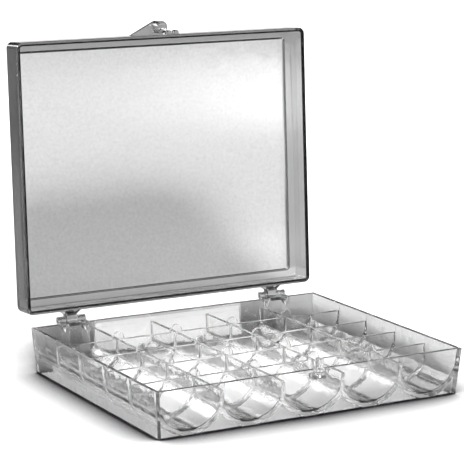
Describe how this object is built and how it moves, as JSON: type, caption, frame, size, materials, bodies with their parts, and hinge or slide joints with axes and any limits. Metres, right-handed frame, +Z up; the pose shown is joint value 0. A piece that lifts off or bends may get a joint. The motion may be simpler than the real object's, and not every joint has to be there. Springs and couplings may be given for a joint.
{
  "type": "bobbin box",
  "caption": "Clear hinged bobbin box, lid open, with a grid of round-bottomed cells, snap peg and finger tab.",
  "frame": {"origin": "middle of the tray's underside, on the flat foot line of the middle trough", "axes": "+X to the right, +Y from the catch to the hinge, +Z up out of the cells"},
  "size_m": [0.124, 0.1277, 0.1281],
  "materials": {
    "clear_tray": "clear crystal polystyrene, polished",
    "clear_lid": "clear crystal polystyrene, polished",
    "label_paper": "blank white paper, matt"
  },
  "bodies": {
    "tray": {"tray_walls": "clear_tray", "trough_floor": "clear_tray", "column_walls": "clear_tray", "row_dividers": "clear_tray", "crossing_tabs": "clear_tray", "left_hinge_ears": "clear_tray", "right_hinge_ears": "clear_tray", "catch_peg": "clear_tray", "back_label": "label_paper"},
    "lid": {"lid_shell": "clear_lid", "left_hinge_lug": "clear_lid", "right_hinge_lug": "clear_lid", "finger_tab": "clear_lid"}
  },
  "joints": [
    {"name": "lid_hinge", "type": "hinge", "parent": "tray", "child": "lid", "pos_m": [0, 0.0544, 0.0177], "axis": [1, 0, 0], "range_deg": [0, 93.6]}
  ]
}
